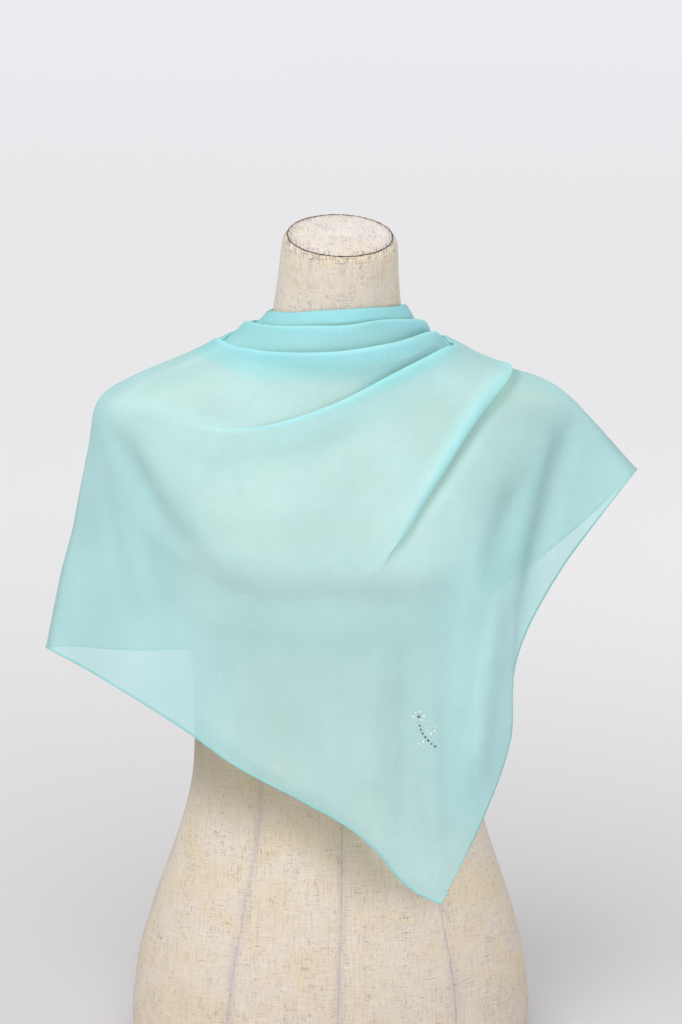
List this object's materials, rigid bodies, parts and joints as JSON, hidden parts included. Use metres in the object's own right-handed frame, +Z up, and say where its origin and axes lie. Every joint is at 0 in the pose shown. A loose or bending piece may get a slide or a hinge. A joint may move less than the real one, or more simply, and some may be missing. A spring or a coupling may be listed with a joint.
{
  "type": "chiffon scarf on dress form",
  "caption": "Sheer chiffon scarf worn as a wrap, folded round the neck and falling to a point in front, on a limbless linen dress form with a flat base board.",
  "frame": {"origin": "centre of the base board's underside", "axes": "+Z up, -Y the way the form faces, +X towards the form's own left"},
  "size_m": [0.5081, 0.2557, 0.7285],
  "materials": {
    "chiffon": "sheer aqua chiffon, matt with a soft sheen",
    "linen": "natural slubbed linen, matt",
    "linen_cap": "natural slubbed linen, matt",
    "board": "plain sealed plywood"
  },
  "bodies": {
    "root": {"scarf_neck_front": "chiffon", "scarf_neck_back": "chiffon", "scarf_front": "chiffon", "scarf_left_side": "chiffon", "scarf_right_side": "chiffon", "scarf_back": "chiffon", "form_body": "linen", "form_neck_cap": "linen_cap", "form_base": "board"}
  },
  "joints": []
}
